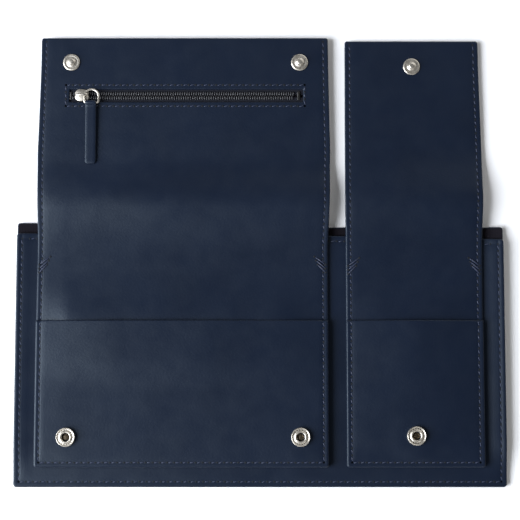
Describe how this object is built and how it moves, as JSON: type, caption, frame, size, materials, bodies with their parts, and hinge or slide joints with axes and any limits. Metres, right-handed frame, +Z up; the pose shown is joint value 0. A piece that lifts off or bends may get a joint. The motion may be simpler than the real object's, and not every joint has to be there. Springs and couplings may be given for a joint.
{
  "type": "passport holder",
  "caption": "Leather travel document holder lying open: a ticket sleeve with a passport pocket and a card pocket on its front, each under a fold-over snap flap, one with a zip pocket.",
  "frame": {"origin": "centre of the opened outline, on the table it lies on", "axes": "+X to the right along the fold lines, +Y from the pockets towards the open flaps' free ends, +Z up from the table, out of the pockets' faces"},
  "size_m": [0.234, 0.2174, 0.0111],
  "materials": {
    "leather": "smooth navy leather, semi-gloss, fine grain",
    "lining": "near-black woven lining",
    "thread": "waxed navy stitching thread",
    "zip_tape": "dark woven zip tape",
    "zip_coil": "dark nylon coil, satin",
    "nickel": "polished nickel plate"
  },
  "bodies": {
    "holder": {"rear_panel": "leather", "rear_lining": "lining", "front_panel": "leather", "sleeve_seam": "thread", "left_backing": "leather", "left_base": "leather", "left_fold": "leather", "left_pocket": "leather", "left_socket_a": "nickel", "left_socket_b": "nickel", "left_socket_spring_a": "nickel", "left_socket_spring_b": "nickel", "left_socket_rivet_a": "nickel", "left_socket_rivet_b": "nickel", "left_lower_seam": "thread", "right_backing": "leather", "right_base": "leather", "right_fold": "leather", "right_pocket": "leather", "right_socket": "nickel", "right_socket_spring": "nickel", "right_socket_rivet": "nickel", "right_lower_seam": "thread"},
    "left_flap": {"left_flap_face": "leather", "left_flap_back": "leather", "left_stud_a": "nickel", "left_stud_b": "nickel", "left_stud_cap_a": "nickel", "left_stud_cap_b": "nickel", "left_flap_seam_a": "thread", "left_flap_seam_b": "thread", "zip_tape_lower": "zip_tape", "zip_tape_upper": "zip_tape", "zip_coil_lower": "zip_coil", "zip_coil_upper": "zip_coil", "zip_top_stop": "nickel", "zip_bottom_stop": "nickel", "zip_seam": "thread", "zip_bag": "lining"},
    "zip_slider": {"slider_body": "nickel"},
    "pull_ring": {"pull_ring": "nickel"},
    "pull_tab": {"pull_tab": "leather"},
    "right_flap": {"right_flap_face": "leather", "right_flap_back": "leather", "right_stud": "nickel", "right_stud_cap": "nickel", "right_flap_seam_a": "thread", "right_flap_seam_b": "thread"}
  },
  "joints": [
    {"name": "left_flap_fold", "type": "hinge", "parent": "holder", "child": "left_flap", "pos_m": [0, 0.0054, 0.00792], "axis": [1, 0, 0], "range_deg": [0, 179.9]},
    {"name": "right_flap_fold", "type": "hinge", "parent": "holder", "child": "right_flap", "pos_m": [0, 0.0048, 0.00758], "axis": [1, 0, 0], "range_deg": [0, 179.9]},
    {"name": "zip_slide", "type": "slide", "parent": "left_flap", "child": "zip_slider", "axis": [1, 0, 0], "range_m": [0, 0.1002]},
    {"name": "pull_ring_swing", "type": "hinge", "parent": "zip_slider", "child": "pull_ring", "pos_m": [-0.08505, 0.0795, 0.00595], "axis": [0, 1, 0], "range_deg": [-90, 0]},
    {"name": "pull_tab_swing", "type": "hinge", "parent": "pull_ring", "child": "pull_tab", "pos_m": [-0.08195, 0.0757, 0.00595], "axis": [1, 0, 0], "range_deg": [-110, 0]}
  ]
}
